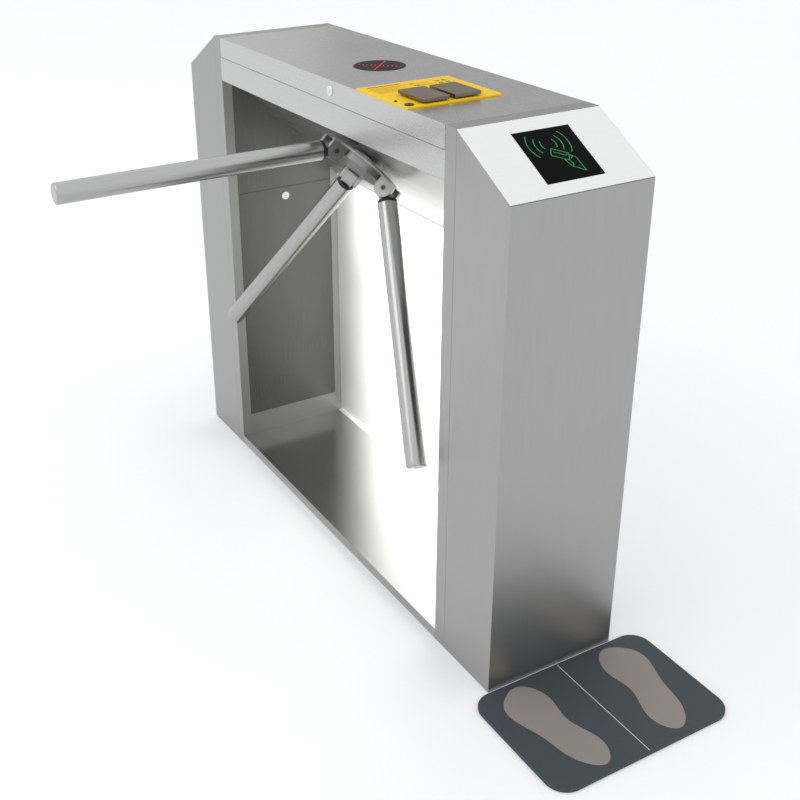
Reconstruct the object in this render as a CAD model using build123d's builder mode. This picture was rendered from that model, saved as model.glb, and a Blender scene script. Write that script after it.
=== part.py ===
from build123d import *

import os
from math import atan2, cos, degrees, radians, sin, sqrt

# Bridge tripod turnstile with a person counter, a touch tester on the lid and a foot mat.
#
# Frame: X along the length, Y across the width (the arms reach out towards -Y), Z up.
# The origin is on the floor, midway between the two pedestals.

# ---------------------------------------------------------------- driving dimensions (mm)
LENGTH = 1200.0
WIDTH = 275.0
HEIGHT = 980.0
PEDESTAL_DEPTH = 172.0
SHEET = 1.5
SEAM = 0.6  # open joint between neighbouring sheets

# pedestals
EDGE_WIDTH = 30.0  # edge frame that shows on the side faces
SLOPE_DROP = 81.0
SLOPE_FLANGE_SHARE = 0.8  # how much of the slope's length its side flanges run along
BASE_THICK = 5.0
ANCHOR_R = 7.0
ANCHOR_INSET_X = 40.0
ANCHOR_INSET_Y = 42.5
CABLE_R = 25.0

# doors and fixed panels in the inner faces
DOOR_FRONT = 23.0  # from the front edge to the opening
DOOR_BACK = 20.0
DOOR_LOW = 75.0
DOOR_HIGH = 633.0
PANEL_HIGH = 884.0
DOOR_GAP = 1.0
DOOR_SHEET = 1.2
LEDGE = 10.0
RIM_DEPTH = 14.0
RIM_INSET = 12.0

# reader windows
WINDOW = 110.0
WINDOW_THICK = 3.0
WINDOW_FROM_TOP = 29.0
WINDOW_GAP = 0.4
WINDOW_BEVEL = 0.4
READER_MARGIN = 9.0
READER_DEPTH = 24.0
READER_ROUND = 4.0

# cam locks
LOCK_R = 8.0
LOCK_FLANGE_R = 9.5
LOCK_FLANGE = 2.0
LOCK_BEVEL = 0.6
DOOR_BARREL = 6.0
LID_BARREL = 17.0
PLUG_R = 5.0
RUN_FIT = 0.05  # radial clearance of a turning fit
CAM_LENGTH = 30.0
CAM_WIDTH = 14.0
CAM_THICK = 2.5
CAM_ROOM = 4.0
KEY_SLOT = (6.5, 1.0, 1.5)  # length, width and depth
DOOR_LOCK_DOWN = 21.0
LID_LOCK_X = 59.0
LID_LOCK_DOWN = 19.0

# beam
BEAM_FRONT = 89.0
LIP = 27.0  # flat return under the front face
LID_SKIRT = 39.5
LID_GAP = 1.0
LIP_STEP = 2.5
LIP_RISE = 22.0  # how far the front lip reaches up inside the lid's skirt
LOCK_ROOM = 2.0
TAB_REACH = 24.0
TAB_GAP = 0.5
SHAFT_ROOM = 4.0

# lid hinges
KNUCKLES = 5
HINGE_X = 300.0
HINGE_LENGTH = 80.0
KNUCKLE_R = 3.2
KNUCKLE_GAP = 0.3
HINGE_PIN_R = 1.6
LEAF = 1.2
LEAF_HEIGHT = 25.0

# status light and tester on the lid
STATUS_R = 49.0
LENS_FLANGE = 5.0
LENS_PROUD = 0.4
BOARD_DROP = 5.0
BOARD_SPACER_R = 3.0
TESTER_X = 235.0
TESTER_LENGTH = 166.0
TESTER_DEPTH = 190.0
TESTER_OVERHANG = 2.0
TESTER_THICK = 3.0
TESTER_ROUND = 6.0
TESTER_BEVEL = 0.8
TESTER_BOX_DEPTH = 32.0
TESTER_BOX_INSET = (26.0, 29.0)  # from the plate's -X and front edges
TESTER_BOX_GAP = 1.0
STEM_ROOM = 4.0
PAD_X = 80.0
PAD_Y = 52.0
PAD_GAP = 10.0
PAD_RISE = 9.0
PAD_THICK = 6.0
PAD_ROUND = 2.0
PAD_EDGE = 0.8
PAD_CENTRE_X = 272.0
PAD_FIRST_Y = -77.0
STEM_R = 9.0
TOUCH_GAP = 0.5
JACK_R = 8.0
JACK_BORE_R = 2.05
JACK_DEPTH = 14.0
JACK_INSET = 15.0
JACK_PROUD = 2.0
JACK_END = 4.0

# rotor
HUB_Y = -28.0  # where the axis meets the slanted face
PIN_OFFSET = 34.0
PIN_CIRCLE_R = 75.4
FLANGE_R = 82.0
FLANGE_BACK = 14.0
FLANGE_THICK = 5.0
CORE_R = 58.0
CORE_FRONT = 30.0
BOSS_R = 30.0
BOSS_BACK = 3.0
SHAFT_R = 12.5
SHAFT_FRONT = 24.0
SHAFT_BACK = 112.0
LUG_R = 18.5
LUG_THICK = 8.0
FORK_GAP = 26.0
PIN_R = 5.0
ARM_R = 19.0
ARM_WALL = 1.5
ARM_LENGTH = 530.0  # from the pivot pin to the tip
ARM_START = 26.0
ARM_CONE = 45.0  # angle between the rotor axis and an arm
TONGUE_R = 13.0
TONGUE_SIDE = 0.5
TONGUE_PLUG = 40.0
TONGUE_ROOM = 1.5
PIN_PROUD = 0.5
PIN_SOCKET = 3.0
ARMS = 3

# mechanism behind the slanted face
PLATE_THICK = 6.0
PLATE_SIZE = (216.0, 220.0)
PLATE_ROUND = 8.0
HOUSING_R = 36.0
HOUSING_FLANGE_R = 55.0
HOUSING_FLANGE = 10.0
HOUSING_LENGTH = 60.0
SCREW_CIRCLE_R = 46.0
SCREW_R = 3.0
SCREWS = 4
SCREW_HEAD = 6.0
BEARING_R = 23.5
BEARING_WIDTH = 12.0
BEARING_INSET = 2.0
BEARING_SHOULDER = 3.0
WHEEL_R = 52.0
WHEEL_BACK = 84.0
WHEEL_THICK = 10.0
NOTCH_R = 6.5
NOTCHES = 6
ROLLER_R = 9.0
ROLLER_GAP = 0.5
ROLLER_PIN_R = 4.0
LEVER_BACK = 91.0
LEVER_THICK = 5.0
LEVER_WIDTH = 18.0
LEVER_PIVOT = (-72.0, 78.0)
STUD_R = 5.0
STUD_BACK = 96.0
STUD_COLLAR = 3.0
PAWL_TIP_R = 5.0
PAWL_REACH = 51.0
PAWL_ELBOW = 68.0
PAWL_ARM = 55.0
PAWL_WIDTH = 12.0
PAWL_EYE = 4.0
PAWL_ANGLE = -30.0
PAWL_SWING = 12.0
COUNTER_R = 40.0
COUNTER_BACK = 100.0
COUNTER_THICK = 3.0
COUNTER_SLOTS = 12
COUNTER_SLOT = (8.0, 4.0)
SENSOR_POST = 10.0
SENSOR_WIDTH = 16.0
SENSOR_REACH = 28.0
SENSOR_CHEEK = 6.0
SENSOR_GAP = 2.0

SPRING_WIRE_R = 0.9
SPRING_R = 8.2
SPRING_TURNS = 3
SPRING_PITCH = 2.34
SPRING_GAP = 1.0
SOLENOID_X = (80.0, 105.0)
SOLENOID_Y = (-66.0, -34.0)
SOLENOID_LENGTH = 30.0
SOLENOID_ROUND = 3.0
SOLENOID_OVERHANG = 10.0
BRACKET = 3.0
BRACKET_INSET = 4.0

# electronics
BOARD_WIDTH = 120.0
BOARD_HEIGHT = 160.0
BOARD_THICK = 1.6
BOARD_STANDOFF = 12.0
BOARD_POST_INSET = 6.0
TERMINAL = (14.0, 96.0, 14.0)  # depth, length along the board and height
TERMINAL_INSET = 10.0
RELAY = (18.0, 34.0, 28.0)
PROCESSOR = (3.0, 22.0, 22.0)
SUPPLY_LENGTH = 160.0
SUPPLY_HEIGHT = 98.0
SUPPLY_THICK = 42.0
SUPPLY_ROUND = 2.0

# mat
MAT_DEPTH = 250.0
MAT_WIDTH = 380.0
MAT_THICK = 6.0
MAT_RADIUS = 38.0
MAT_GAP = 6.0
MAT_Y = 8.0
MAT_BEVEL = 1.0
FOOT_SPREAD = 98.0
FOOT_TURN = 10.0
FOOT_THICK = 1.5
FOOT_HALF = 110.0
BALL_R = 44.0
HEEL_R = 30.0

# ---------------------------------------------------------------- derived places
half_length = LENGTH / 2
half_width = WIDTH / 2
inner_x = half_length - PEDESTAL_DEPTH
seam_x = inner_x + EDGE_WIDTH
slope_run = half_length - seam_x
slope_length = sqrt(slope_run**2 + SLOPE_DROP**2)
slope_start = SEAM / 2 + SHEET * SLOPE_DROP / slope_run
window_at = (WINDOW_FROM_TOP + WINDOW / 2, 0)
door_y = (-half_width + DOOR_FRONT, half_width - DOOR_BACK)
door_mid_y = sum(door_y) / 2
door_span = door_y[1] - door_y[0]
beam_low = HEIGHT - BEAM_FRONT
slant_sum = beam_low - half_width + LIP  # y + z is constant on the slanted face
rear_top = slant_sum - half_width
skirt_low = HEIGHT - LID_SKIRT
wall_top = skirt_low - LID_GAP
hinge_axis = (half_width + KNUCKLE_R + KNUCKLE_GAP / 2, skirt_low - LID_GAP / 2)
tray_top = 21.0
lid_under = HEIGHT - SHEET

slope = Plane(
    origin=(seam_x, 0, HEIGHT), x_dir=(slope_run, 0, -SLOPE_DROP), z_dir=(SLOPE_DROP, 0, slope_run)
)
rotor = Plane(origin=(0, HUB_Y, slant_sum - HUB_Y), x_dir=(0, -1, 1), z_dir=(0, -1, -1))


def save(piece, label):
    """Label one finished piece and write it."""
    piece.part.label = label
    export_step(piece.part, f"parts/{label}.step")


def save_pair(piece, name):
    """Write the piece made for the +X side, and its mirror image for the -X side."""
    save(piece, f"right_{name}")
    with BuildPart() as twin:
        mirror(piece.part, about=Plane.YZ)
    save(twin, f"left_{name}")


def block(x, y, z, mode=Mode.ADD):
    """A box between two coordinates on each axis."""
    centre = tuple((low + high) / 2 for low, high in (x, y, z))
    with Locations(centre):
        Box(x[1] - x[0], y[1] - y[0], z[1] - z[0], mode=mode)


def disc(plane, radius, height, mode=Mode.ADD):
    """A round slab that starts on a plane and rises along its normal."""
    with BuildSketch(plane) as outline:
        Circle(radius)
    extrude(outline.sketch, amount=height, mode=mode)


def end_face(piece, plane, index=-1):
    """The face furthest along a plane's normal, or with index 0 the face furthest back."""
    return piece.faces().sort_by(Axis(plane.origin, plane.z_dir))[index]


os.makedirs("parts", exist_ok=True)

# ---------------------------------------------------------------- pedestals (made at +X)
with BuildPart() as edge_frame:
    block((inner_x, inner_x + SHEET), (-half_width, half_width), (0, HEIGHT))
    block((inner_x, seam_x), (-half_width, -half_width + SHEET), (0, HEIGHT))
    block((inner_x, seam_x), (half_width - SHEET, half_width), (0, HEIGHT))
    block((inner_x, seam_x), (-half_width, half_width), (HEIGHT - SHEET, HEIGHT))
    base_end = half_length - SHEET - SEAM
    base_side = half_width - SHEET - SEAM
    block((inner_x, base_end), (-base_side, base_side), (0, BASE_THICK))
    # the opening that the door and the fixed panel fill, with a ledge behind its edge
    block(
        (inner_x + SHEET, inner_x + 2 * SHEET),
        (door_y[0] - LEDGE, door_y[1] + LEDGE),
        (DOOR_LOW - LEDGE, PANEL_HIGH + LEDGE),
    )
    block(
        (inner_x, inner_x + SHEET),
        (door_y[0] - DOOR_GAP, door_y[1] + DOOR_GAP),
        (DOOR_LOW - DOOR_GAP, PANEL_HIGH + DOOR_GAP),
        mode=Mode.SUBTRACT,
    )
    for low, high in (
        (DOOR_LOW + LEDGE, DOOR_HIGH - LEDGE),
        (DOOR_HIGH + LEDGE, PANEL_HIGH - LEDGE),
    ):
        block(
            (inner_x, inner_x + 3 * SHEET),
            (door_y[0] + LEDGE, door_y[1] - LEDGE),
            (low, high),
            mode=Mode.SUBTRACT,
        )
    # anchor holes and the cable entry in the base
    with BuildSketch(Plane.XY):
        for x in (inner_x + ANCHOR_INSET_X, half_length - ANCHOR_INSET_X):
            with Locations(
                (x, half_width - ANCHOR_INSET_Y), (x, -half_width + ANCHOR_INSET_Y)
            ):
                Circle(ANCHOR_R)
        with Locations(((inner_x + half_length) / 2, 0)):
            Circle(CABLE_R)
    extrude(amount=BASE_THICK, mode=Mode.SUBTRACT)
save_pair(edge_frame, "edge_frame")

with BuildPart() as upper_panel:
    block((inner_x, inner_x + SHEET), door_y, (DOOR_HIGH + DOOR_GAP, PANEL_HIGH))
save_pair(upper_panel, "upper_panel")

with BuildPart() as cover:
    side_low = HEIGHT - SHEET * slope_length / slope_run - SEAM
    with BuildSketch(Plane.XZ.offset(-half_width)):
        with BuildLine():
            Polyline(
                (seam_x + SEAM, 0),
                (half_length, 0),
                (half_length, side_low - SLOPE_DROP),
                (seam_x + SEAM, side_low),
                close=True,
            )
        make_face()
    extrude(amount=WIDTH)
    block(
        (inner_x, half_length - SHEET),
        (-half_width + SHEET, half_width - SHEET),
        (-SHEET, HEIGHT + SHEET),
        mode=Mode.SUBTRACT,
    )
save_pair(cover, "cover")

with BuildPart() as slope_panel:
    with BuildSketch(slope):
        with Locations(((slope_length + slope_start) / 2, 0)):
            Rectangle(slope_length - slope_start, WIDTH)
    extrude(amount=-SHEET)
    with BuildSketch(slope.offset(-SHEET)):
        for side in (-1, 1):
            with Locations((slope_length / 2, side * (half_width - 1.5 * SHEET))):
                Rectangle(slope_length * SLOPE_FLANGE_SHARE, SHEET)
    extrude(amount=-LEDGE)
    with BuildSketch(slope):
        with Locations(window_at):
            Rectangle(WINDOW + 2 * WINDOW_GAP, WINDOW + 2 * WINDOW_GAP)
    extrude(amount=-SHEET, mode=Mode.SUBTRACT)
save_pair(slope_panel, "slope_panel")

with BuildPart() as window:
    with BuildSketch(slope):
        with Locations(window_at):
            Rectangle(WINDOW, WINDOW)
    extrude(amount=-WINDOW_THICK)
    chamfer(end_face(window, slope).edges(), WINDOW_BEVEL)
save_pair(window, "window")

with BuildPart() as readers:
    reader_wide = WINDOW + 2 * READER_MARGIN
    reader_body = WINDOW - READER_MARGIN
    with BuildSketch(slope.offset(-SHEET)):
        with Locations(window_at):
            RectangleRounded(reader_wide, reader_wide, READER_ROUND)
    extrude(amount=-WINDOW_THICK)
    with BuildSketch(slope.offset(-SHEET)):
        with Locations(window_at):
            Rectangle(WINDOW + WINDOW_GAP, WINDOW + WINDOW_GAP)
    extrude(amount=-(WINDOW_THICK - SHEET), mode=Mode.SUBTRACT)
    with BuildSketch(slope.offset(-WINDOW_THICK - SHEET)):
        with Locations(window_at):
            RectangleRounded(reader_body, reader_body, READER_ROUND)
    extrude(amount=-READER_DEPTH)
    mirror(about=Plane.YZ)
save(readers, "readers")

# ---------------------------------------------------------------- doors and their locks
with BuildPart() as door:
    rim_y = (door_y[0] + RIM_INSET, door_y[1] - RIM_INSET)
    rim_z = (DOOR_LOW + RIM_INSET, DOOR_HIGH - RIM_INSET)
    lock_z = DOOR_HIGH - DOOR_LOCK_DOWN
    block((inner_x + DOOR_SHEET, inner_x + RIM_DEPTH), rim_y, rim_z)
    block(
        (inner_x + DOOR_SHEET, inner_x + RIM_DEPTH + 1),
        (rim_y[0] + DOOR_SHEET, rim_y[1] - DOOR_SHEET),
        (rim_z[0] + DOOR_SHEET, rim_z[1] - DOOR_SHEET),
        mode=Mode.SUBTRACT,
    )
    block(
        (inner_x + DOOR_SHEET, inner_x + RIM_DEPTH + 1),
        (door_mid_y - CAM_WIDTH - CAM_ROOM, door_mid_y + CAM_LENGTH + 2 * CAM_ROOM),
        (rim_z[1] - 2 * DOOR_SHEET, rim_z[1] + 1),
        mode=Mode.SUBTRACT,
    )
    block((inner_x, inner_x + DOOR_SHEET), door_y, (DOOR_LOW, DOOR_HIGH))
    lock_face = Plane(origin=(inner_x, door_mid_y, lock_z), x_dir=(0, 1, 0), z_dir=(1, 0, 0))
    disc(lock_face, LOCK_R, DOOR_SHEET, mode=Mode.SUBTRACT)
save_pair(door, "door")


def lock_barrel(face, depth):
    """Barrel of a cam lock: a flange on the outside of a sheet and a hollow body behind it."""
    with BuildPart() as barrel:
        disc(face.offset(-LOCK_FLANGE), LOCK_FLANGE_R, LOCK_FLANGE)
        chamfer(end_face(barrel, face, 0).edges(), LOCK_BEVEL)
        disc(face, LOCK_R, depth)
        disc(face.offset(-LOCK_FLANGE), PLUG_R + RUN_FIT, depth + LOCK_FLANGE, mode=Mode.SUBTRACT)
    return barrel


def lock_cam(face, depth):
    """Key plug with a slot, and the cam on its inner end, which points along the face's X."""
    with BuildPart() as cam:
        disc(face.offset(-LOCK_FLANGE), PLUG_R, depth + LOCK_FLANGE + CAM_THICK + 2 * RUN_FIT)
        with BuildSketch(face.offset(depth + 2 * RUN_FIT)):
            Circle(CAM_WIDTH / 2)
            with Locations((CAM_LENGTH / 2 - CAM_WIDTH / 4, 0)):
                Rectangle(CAM_LENGTH - CAM_WIDTH / 2, CAM_WIDTH)
        extrude(amount=CAM_THICK)
        with BuildSketch(face.offset(-LOCK_FLANGE)):
            Rectangle(*KEY_SLOT[:2])
        extrude(amount=KEY_SLOT[2], mode=Mode.SUBTRACT)
    return cam


save_pair(lock_barrel(lock_face, DOOR_BARREL), "door_lock_barrel")
save_pair(lock_cam(lock_face, DOOR_BARREL), "door_lock_cam")

# ---------------------------------------------------------------- floor channel, rear panel, beam
with BuildPart() as floor_channel:
    block((-inner_x, inner_x), (-half_width, half_width), (0, tray_top))
    block(
        (-inner_x, inner_x),
        (-half_width + SHEET, half_width - SHEET),
        (0, tray_top - SHEET),
        mode=Mode.SUBTRACT,
    )
save(floor_channel, "floor_channel")

with BuildPart() as rear_panel:
    block((-inner_x, inner_x), (half_width - SHEET, half_width), (tray_top, rear_top - SEAM))
    block(
        (-inner_x, inner_x),
        (half_width - LEDGE, half_width - SHEET),
        (tray_top, tray_top + SHEET),
    )
save(rear_panel, "rear_panel")

with BuildPart() as beam_trough:
    lip_top = wall_top + LIP_RISE
    with BuildSketch(Plane.YZ.offset(-inner_x)):
        with BuildLine() as outline:
            Polyline(
                (-half_width + LIP_STEP, lip_top),
                (-half_width + LIP_STEP, wall_top),
                (-half_width, wall_top),
                (-half_width, beam_low),
                (-half_width + LIP, beam_low),
                (half_width, rear_top),
                (half_width, wall_top),
            )
            offset(amount=SHEET, kind=Kind.INTERSECTION, side=Side.LEFT)
        make_face()
    extrude(amount=2 * inner_x)
    # clearance for the lid lock, and the hooked tab that its cam turns under
    lid_lock_z = HEIGHT - LID_LOCK_DOWN
    lock_room = LOCK_FLANGE_R + LOCK_ROOM
    tab_y = (-half_width + LIP_STEP, -half_width + TAB_REACH)
    tab_x = (LID_LOCK_X + lock_room, LID_LOCK_X + CAM_LENGTH)
    tab_low = lid_lock_z + CAM_WIDTH / 2 + TAB_GAP
    block(
        (LID_LOCK_X - lock_room, LID_LOCK_X + lock_room),
        (tab_y[0] - SHEET, tab_y[0] + 2 * SHEET),
        (lid_lock_z - lock_room, lip_top + SHEET),
        mode=Mode.SUBTRACT,
    )
    block(tab_x, (tab_y[0], tab_y[0] + SHEET), (lip_top - SHEET, tab_low + SHEET))
    block(tab_x, tab_y, (tab_low, tab_low + SHEET))
    # the shaft passes through the slanted face
    disc(rotor.offset(-3 * SHEET), SHAFT_R + SHAFT_ROOM, 4 * SHEET, mode=Mode.SUBTRACT)
save(beam_trough, "beam_trough")

# ---------------------------------------------------------------- lid, hinges and lid lock
with BuildPart() as lid:
    lid_x = (-inner_x + LID_GAP, inner_x - LID_GAP)
    block(lid_x, (-half_width, half_width), (skirt_low, HEIGHT))
    block(
        (lid_x[0] + SHEET, lid_x[1] - SHEET),
        (-half_width + SHEET, half_width - SHEET),
        (skirt_low, lid_under),
        mode=Mode.SUBTRACT,
    )
    # the ends are only a short return
    for end in (-1, 1):
        block(
            tuple(sorted((end * (lid_x[1] - SHEET), end * lid_x[1]))),
            (-half_width + SHEET, half_width - SHEET),
            (skirt_low, lid_under - RIM_DEPTH),
            mode=Mode.SUBTRACT,
        )
    disc(Plane.XY.offset(lid_under), STATUS_R + WINDOW_GAP, SHEET, mode=Mode.SUBTRACT)
    tester_y = (-half_width - TESTER_OVERHANG, -half_width - TESTER_OVERHANG + TESTER_DEPTH)
    tester_x = (TESTER_X - TESTER_LENGTH / 2, TESTER_X + TESTER_LENGTH / 2)
    jack_at = (tester_x[1] - JACK_INSET, tester_y[0] + JACK_INSET)
    cut_x = (tester_x[0] + TESTER_BOX_INSET[0], jack_at[0] - JACK_R)
    cut_y = (tester_y[0] + TESTER_BOX_INSET[1], tester_y[1] - TESTER_BOX_INSET[0])
    block(cut_x, cut_y, (lid_under, HEIGHT), mode=Mode.SUBTRACT)
    disc(
        Plane.XY.offset(lid_under).shift_origin((*jack_at, lid_under)),
        JACK_R + WINDOW_GAP,
        SHEET,
        mode=Mode.SUBTRACT,
    )
    lid_lock_face = Plane(
        origin=(LID_LOCK_X, -half_width, lid_lock_z), x_dir=(0, 0, -1), z_dir=(0, 1, 0)
    )
    disc(lid_lock_face, LOCK_R, SHEET, mode=Mode.SUBTRACT)
save(lid, "lid")

save(lock_barrel(lid_lock_face, LID_BARREL), "lid_lock_barrel")
save(lock_cam(lid_lock_face, LID_BARREL), "lid_lock_cam")

knuckle = HINGE_LENGTH / KNUCKLES
hinge_places = (-HINGE_X, 0.0, HINGE_X)


def hinge_leaf(x, mine, upward):
    """One leaf of a butt hinge centred on x, with the knuckles of its own numbers."""
    y, z = hinge_axis
    far = z + (LEAF_HEIGHT if upward else -LEAF_HEIGHT)
    near = z + (KNUCKLE_R + KNUCKLE_GAP) * (1 if upward else -1)
    block(
        (x - HINGE_LENGTH / 2, x + HINGE_LENGTH / 2),
        (half_width, half_width + LEAF),
        tuple(sorted((near, far))),
    )
    for number in mine:
        start = x - HINGE_LENGTH / 2 + number * knuckle + KNUCKLE_GAP / 2
        end = start + knuckle - KNUCKLE_GAP
        block((start, end), (half_width, half_width + LEAF), tuple(sorted((z, near))))
        disc(Plane(origin=(start, y, z), z_dir=(1, 0, 0)), KNUCKLE_R, end - start)


with BuildPart() as hinge_fixed_leaves:
    for place in hinge_places:
        hinge_leaf(place, (0, 2, 4), upward=False)
    disc(
        Plane(origin=(-half_length, *hinge_axis), z_dir=(1, 0, 0)),
        HINGE_PIN_R,
        LENGTH,
        mode=Mode.SUBTRACT,
    )
save(hinge_fixed_leaves, "hinge_fixed_leaves")

with BuildPart() as hinge_lid_leaves:
    for place in hinge_places:
        hinge_leaf(place, (1, 3), upward=True)
    disc(
        Plane(origin=(-half_length, *hinge_axis), z_dir=(1, 0, 0)),
        HINGE_PIN_R + RUN_FIT,
        LENGTH,
        mode=Mode.SUBTRACT,
    )
save(hinge_lid_leaves, "hinge_lid_leaves")

with BuildPart() as hinge_pins:
    for place in hinge_places:
        disc(
            Plane(origin=(place - HINGE_LENGTH / 2, *hinge_axis), z_dir=(1, 0, 0)),
            HINGE_PIN_R,
            HINGE_LENGTH,
        )
save(hinge_pins, "hinge_pins")

# ---------------------------------------------------------------- status light
with BuildPart() as status_lens:
    disc(Plane.XY.offset(lid_under - 2 * SHEET), STATUS_R + LENS_FLANGE, 2 * SHEET)
    disc(Plane.XY.offset(lid_under - 2 * SHEET), STATUS_R, 3 * SHEET + LENS_PROUD)
    fillet(status_lens.faces().sort_by(Axis.Z)[-1].edges(), LENS_PROUD)
save(status_lens, "status_lens")

with BuildPart() as status_board:
    board_top = lid_under - 2 * SHEET - BOARD_DROP
    disc(Plane.XY.offset(board_top - BOARD_THICK), STATUS_R, BOARD_THICK)
    with BuildSketch(Plane.XY.offset(board_top)):
        with PolarLocations(STATUS_R - 2 * BOARD_SPACER_R, 3):
            Circle(BOARD_SPACER_R)
    extrude(amount=BOARD_DROP)
save(status_board, "status_board")

# ---------------------------------------------------------------- tester on the lid
tester_top = HEIGHT + TESTER_THICK
pad_places = (
    (PAD_CENTRE_X, PAD_FIRST_Y),
    (PAD_CENTRE_X, PAD_FIRST_Y + PAD_Y + PAD_GAP),
)
with BuildPart() as tester_plate:
    with BuildSketch(Plane.XY.offset(HEIGHT)):
        with Locations((TESTER_X, sum(tester_y) / 2)):
            RectangleRounded(TESTER_LENGTH, TESTER_DEPTH, TESTER_ROUND)
        with Locations(*pad_places):
            Circle(STEM_R + TOUCH_GAP, mode=Mode.SUBTRACT)
        with Locations(jack_at):
            Circle(JACK_R, mode=Mode.SUBTRACT)
    extrude(amount=TESTER_THICK)
    chamfer(tester_plate.faces().sort_by(Axis.Z)[-1].outer_wire().edges(), TESTER_BEVEL)
save(tester_plate, "tester_plate")

for name, place in zip(("front", "rear"), pad_places):
    with BuildPart() as pad:
        pad_low = tester_top + PAD_RISE - PAD_THICK
        with BuildSketch(Plane.XY.offset(pad_low)):
            with Locations(place):
                RectangleRounded(PAD_X, PAD_Y, PAD_ROUND)
        extrude(amount=PAD_THICK)
        fillet(pad.faces().sort_by(Axis.Z)[-1].edges(), PAD_EDGE)
        with BuildSketch(Plane.XY.offset(lid_under)):
            with Locations(place):
                Circle(STEM_R)
        extrude(amount=pad_low - lid_under)
    save(pad, f"tester_pad_{name}")

with BuildPart() as tester_box:
    block(
        (cut_x[0] + TESTER_BOX_GAP, cut_x[1] - TESTER_BOX_GAP),
        (cut_y[0] + TESTER_BOX_GAP, cut_y[1] - TESTER_BOX_GAP),
        (lid_under - TESTER_BOX_DEPTH, HEIGHT),
    )
    with BuildSketch(Plane.XY.offset(lid_under - STEM_ROOM)):
        with Locations(*pad_places):
            Circle(STEM_R + TOUCH_GAP)
    extrude(amount=SHEET + STEM_ROOM, mode=Mode.SUBTRACT)
    fillet(tester_box.edges().filter_by(Axis.Z).group_by(SortBy.LENGTH)[-1], PAD_ROUND)
save(tester_box, "tester_box")

with BuildPart() as tester_jack:
    jack = Plane(origin=(*jack_at, HEIGHT))
    jack_top = TESTER_THICK + JACK_PROUD
    disc(jack.offset(-JACK_DEPTH - JACK_END), JACK_R, JACK_DEPTH + JACK_END + jack_top)
    chamfer(tester_jack.faces().sort_by(Axis.Z)[-1].edges(), JACK_PROUD / 2)
    disc(jack.offset(jack_top - JACK_DEPTH), JACK_BORE_R, JACK_DEPTH, mode=Mode.SUBTRACT)
save(tester_jack, "tester_jack")

# ---------------------------------------------------------------- rotor and arms


def fork(number):
    """Pivot of one arm: its pin's centre, with X outwards from the axis and Z along the pin."""
    outward = rotor.x_dir.rotate(Axis((0, 0, 0), rotor.z_dir), 360 / ARMS * number)
    centre = rotor.origin + outward * PIN_CIRCLE_R + rotor.z_dir * PIN_OFFSET
    return Plane(origin=centre, x_dir=outward, z_dir=rotor.z_dir.cross(outward))


def along_arm(number):
    """Plane at one arm's pivot with Z along the arm and X along the pin."""
    pivot = fork(number)
    out = pivot.x_dir * sin(radians(ARM_CONE)) - pivot.y_dir * cos(radians(ARM_CONE))
    return Plane(origin=pivot.origin, x_dir=pivot.z_dir, z_dir=out)


fork_half = FORK_GAP / 2 + LUG_THICK
with BuildPart() as rotor_hub:
    disc(rotor.offset(FLANGE_BACK), FLANGE_R, FLANGE_THICK)
    chamfer(rotor_hub.edges().filter_by(GeomType.CIRCLE), 1)
    disc(rotor.offset(BOSS_BACK), BOSS_R, FLANGE_BACK - BOSS_BACK)
    disc(rotor.offset(FLANGE_BACK), CORE_R, CORE_FRONT - FLANGE_BACK)
    lug_root = PIN_OFFSET - FLANGE_BACK - FLANGE_THICK
    for arm in range(ARMS):
        for side in (-1, 1):
            middle = side * (FORK_GAP + LUG_THICK) / 2
            with BuildSketch(fork(arm).offset(middle)):
                Circle(LUG_R)
                with Locations((0, lug_root / 2)):
                    Rectangle(2 * LUG_R, lug_root + 1)
            extrude(amount=LUG_THICK / 2, both=True)
    for arm in range(ARMS):
        # room for the tongue, and the pin's hole
        with BuildSketch(fork(arm)):
            Circle(TONGUE_R + TONGUE_ROOM)
        extrude(amount=FORK_GAP / 2, both=True, mode=Mode.SUBTRACT)
        disc(fork(arm).offset(-fork_half), PIN_R, 2 * fork_half, mode=Mode.SUBTRACT)
    disc(rotor.offset(BOSS_BACK), SHAFT_R, SHAFT_FRONT - BOSS_BACK, mode=Mode.SUBTRACT)
save(rotor_hub, "rotor_hub")

with BuildPart() as clevis_pins:
    for arm in range(ARMS):
        disc(fork(arm).offset(-fork_half - PIN_PROUD), PIN_R, 2 * (fork_half + PIN_PROUD))
        for end in (-1, 1):
            with BuildSketch(fork(arm).offset(end * (fork_half + PIN_PROUD))):
                RegularPolygon(PIN_R / 2, 6)
            extrude(amount=-end * PIN_SOCKET, mode=Mode.SUBTRACT)
save(clevis_pins, "clevis_pins")

with BuildPart() as rotor_shaft:
    disc(rotor.offset(-SHAFT_BACK), SHAFT_R, SHAFT_BACK + SHAFT_FRONT)
    chamfer(rotor_shaft.edges(), 1)
save(rotor_shaft, "rotor_shaft")

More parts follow.
